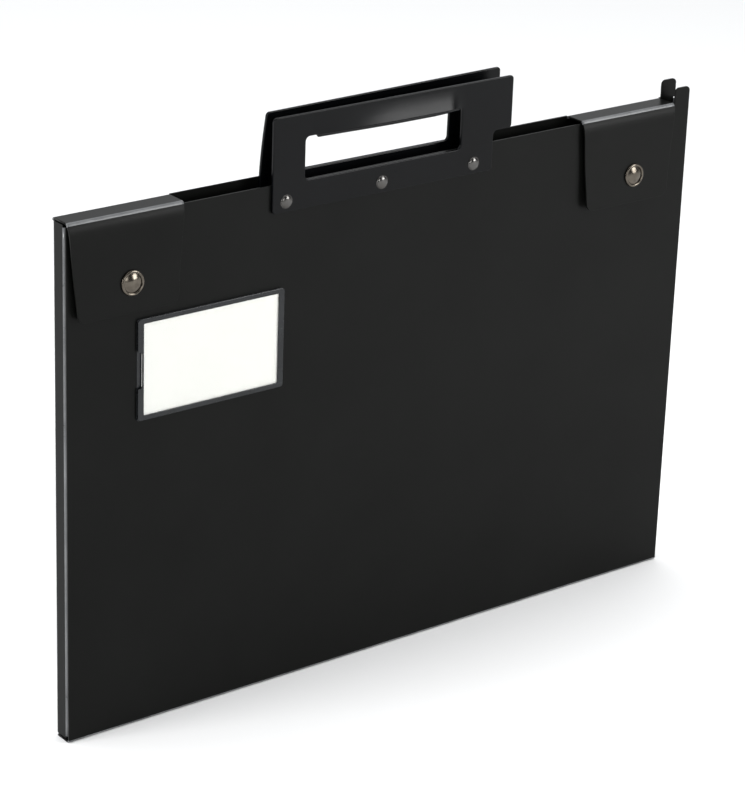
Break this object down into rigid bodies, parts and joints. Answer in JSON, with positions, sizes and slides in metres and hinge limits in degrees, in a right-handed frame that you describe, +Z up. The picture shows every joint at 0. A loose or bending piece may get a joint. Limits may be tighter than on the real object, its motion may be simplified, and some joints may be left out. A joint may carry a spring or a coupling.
{
  "type": "portfolio case",
  "caption": "Slim black A3 portfolio case of creased plastic sheet, with flat riveted carry handles, folding side flaps, press-stud closing tabs and a front label holder.",
  "frame": {"origin": "centre of the spine's bottom face, where the closed case stands on a table", "axes": "+X along the case's length, to the right as seen from the front; +Y through the case's thickness, towards its back; +Z up"},
  "size_m": [0.461, 0.0216, 0.36],
  "materials": {
    "case_sheet": "black polypropylene sheet, fine matt grain with a soft sheen",
    "handle_plate": "black polypropylene plate, satin",
    "stud_nickel": "bright nickel-plated press stud, lightly tarnished",
    "rivet_nickel": "bright nickel-plated rivet",
    "spring_wire": "drawn spring wire",
    "label_rim": "glossy black moulded plastic",
    "clear_film": "clear plastic film",
    "label_card": "plain white card"
  },
  "bodies": {
    "spine": {"spine_strip": "case_sheet"},
    "front_cover": {"front_cover": "case_sheet", "front_handle": "handle_plate", "front_grip_lip": "handle_plate", "front_handle_rivets": "rivet_nickel", "front_handle_washers": "rivet_nickel", "left_stud_post": "stud_nickel", "right_stud_post": "stud_nickel", "left_stud_eyelet": "rivet_nickel", "right_stud_eyelet": "rivet_nickel", "label_frame": "label_rim", "label_backing": "label_rim", "label_window": "clear_film"},
    "back_panel": {"back_panel": "case_sheet", "back_handle": "handle_plate", "back_grip_lip": "handle_plate", "back_handle_rivets": "rivet_nickel", "back_handle_washers": "rivet_nickel"},
    "label_card": {"label_card": "label_card"},
    "left_gusset": {"left_gusset": "case_sheet"},
    "left_side_flap": {"left_side_flap": "case_sheet"},
    "left_tab_strip": {"left_tab_strip": "case_sheet"},
    "left_tab_flap": {"left_tab_flap": "case_sheet", "left_stud_cap": "stud_nickel", "left_stud_socket": "stud_nickel", "left_socket_spring": "spring_wire"},
    "right_gusset": {"right_gusset": "case_sheet"},
    "right_side_flap": {"right_side_flap": "case_sheet"},
    "right_tab_strip": {"right_tab_strip": "case_sheet"},
    "right_tab_flap": {"right_tab_flap": "case_sheet", "right_stud_cap": "stud_nickel", "right_stud_socket": "stud_nickel", "right_socket_spring": "spring_wire"}
  },
  "joints": [
    {"name": "front_cover_fold", "type": "hinge", "parent": "spine", "child": "front_cover", "pos_m": [0, -0.0064, 0.0006], "axis": [1, 0, 0], "range_deg": [0, 89]},
    {"name": "back_panel_fold", "type": "hinge", "parent": "spine", "child": "back_panel", "pos_m": [0, 0.0064, 0.0006], "axis": [-1, 0, 0], "range_deg": [0, 89]},
    {"name": "left_gusset_fold", "type": "hinge", "parent": "back_panel", "child": "left_gusset", "pos_m": [-0.2299, 0.0064, 0.16], "axis": [0, 0, -1], "range_deg": [0, 90]},
    {"name": "left_side_flap_fold", "type": "hinge", "parent": "left_gusset", "child": "left_side_flap", "pos_m": [-0.2299, -0.0045, 0.16], "axis": [0, 0, -1], "range_deg": [0, 90], "deforming": ["left_side_flap"]},
    {"name": "left_tab_fold", "type": "hinge", "parent": "back_panel", "child": "left_tab_strip", "pos_m": [-0.1925, 0.0064, 0.3194], "axis": [-1, 0, 0], "range_deg": [0, 90]},
    {"name": "left_tab_flap_fold", "type": "hinge", "parent": "left_tab_strip", "child": "left_tab_flap", "pos_m": [-0.1925, -0.0082, 0.3194], "axis": [-1, 0, 0], "range_deg": [0, 87]},
    {"name": "right_gusset_fold", "type": "hinge", "parent": "back_panel", "child": "right_gusset", "pos_m": [0.2299, 0.0064, 0.16], "axis": [0, 0, 1], "range_deg": [0, 90]},
    {"name": "right_side_flap_fold", "type": "hinge", "parent": "right_gusset", "child": "right_side_flap", "pos_m": [0.2299, -0.0045, 0.16], "axis": [0, 0, 1], "range_deg": [0, 90], "deforming": ["right_side_flap"]},
    {"name": "right_tab_fold", "type": "hinge", "parent": "back_panel", "child": "right_tab_strip", "pos_m": [0.1785, 0.0064, 0.3194], "axis": [-1, 0, 0], "range_deg": [0, 90]},
    {"name": "right_tab_flap_fold", "type": "hinge", "parent": "right_tab_strip", "child": "right_tab_flap", "pos_m": [0.1785, -0.0082, 0.3194], "axis": [-1, 0, 0], "range_deg": [0, 87]},
    {"name": "label_card_slide", "type": "slide", "parent": "front_cover", "child": "label_card", "axis": [-1, 0, 0], "range_m": [0, 0.09]}
  ]
}
